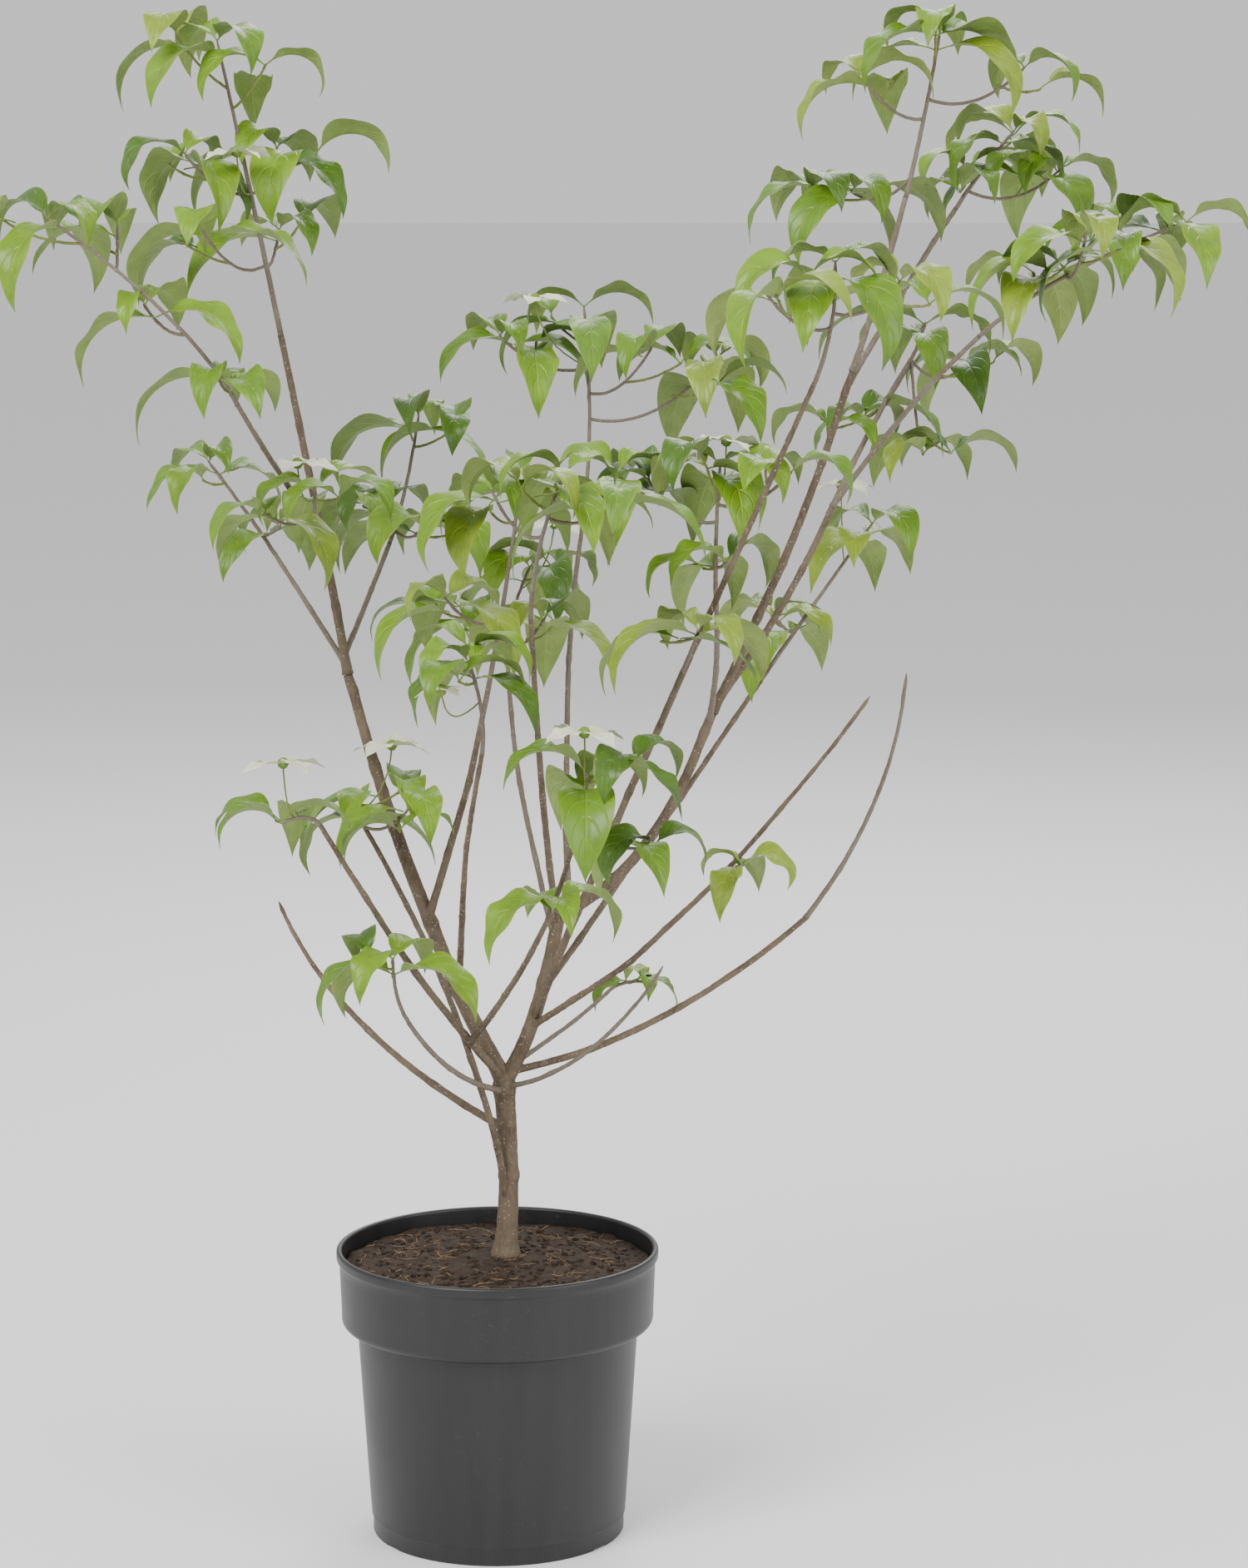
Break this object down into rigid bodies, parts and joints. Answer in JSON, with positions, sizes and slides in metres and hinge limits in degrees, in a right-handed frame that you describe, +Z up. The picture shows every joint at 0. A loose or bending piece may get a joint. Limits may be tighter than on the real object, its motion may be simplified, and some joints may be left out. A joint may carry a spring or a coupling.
{
  "type": "potted kousa dogwood, young multi-stemmed tree",
  "caption": "Young kousa dogwood with arching leaves and a few cream flower bracts, in a black nursery pot.",
  "frame": {"origin": "on the surface the pot stands on, under the middle of the plant's bounding box; the pot's axis is to the -X side of it", "axes": "+Z up along the plant's height, -Y towards the picture's viewer, +X to the viewer's right along the crown's width"},
  "size_m": [0.934, 0.5994, 1.1248],
  "materials": {
    "pot_plastic": "satin black moulded plastic",
    "peat": "moist peat compost, stands in as wood",
    "bark": "smooth young bark",
    "leaves": "leaves, twigs and bracts"
  },
  "bodies": {
    "root": {"back_bough": "bark", "back_foliage": "leaves", "back_right_bough": "bark", "back_right_foliage": "leaves", "bare_left_bough": "bark", "basal_shoot": "bark", "basal_shoot_foliage": "leaves", "budded_bough": "bark", "centre_back_bough": "bark", "centre_back_foliage": "leaves", "centre_right_bough": "bark", "centre_right_foliage": "leaves", "far_left_foliage": "leaves", "far_right_bough": "bark", "far_right_foliage": "leaves", "front_bough": "bark", "front_foliage": "leaves", "front_right_bough": "bark", "front_right_foliage": "leaves", "inner_bough": "bark", "inner_foliage": "leaves", "left_back_bough": "bark", "left_back_foliage": "leaves", "left_high_bough": "bark", "left_leader": "bark", "left_leader_upper": "bark", "left_low_bough": "bark", "left_low_foliage": "leaves", "left_spur": "bark", "left_spur_foliage": "leaves", "left_top_foliage": "leaves", "low_back_bough": "bark", "low_back_foliage": "leaves", "low_front_bough": "bark", "low_front_foliage": "leaves", "low_front_right_bough": "bark", "low_front_spur_foliage": "leaves", "low_left_bough": "bark", "low_left_foliage": "leaves", "low_right_spur_foliage": "leaves", "lowest_left_bough": "bark", "lowest_left_foliage": "leaves", "lowest_right_bough": "bark", "lowest_right_tip": "bark", "middle_bough": "bark", "middle_foliage": "leaves", "pot": "pot_plastic", "right_back_bough": "bark", "right_back_foliage": "leaves", "right_leader": "bark", "right_leader_middle": "bark", "right_leader_upper": "bark", "right_outer_bough": "bark", "right_spur_foliage": "leaves", "soil": "peat", "top_bough": "bark", "top_foliage": "leaves", "top_right_bough": "bark", "top_right_foliage": "leaves", "trunk": "bark"}
  },
  "joints": []
}
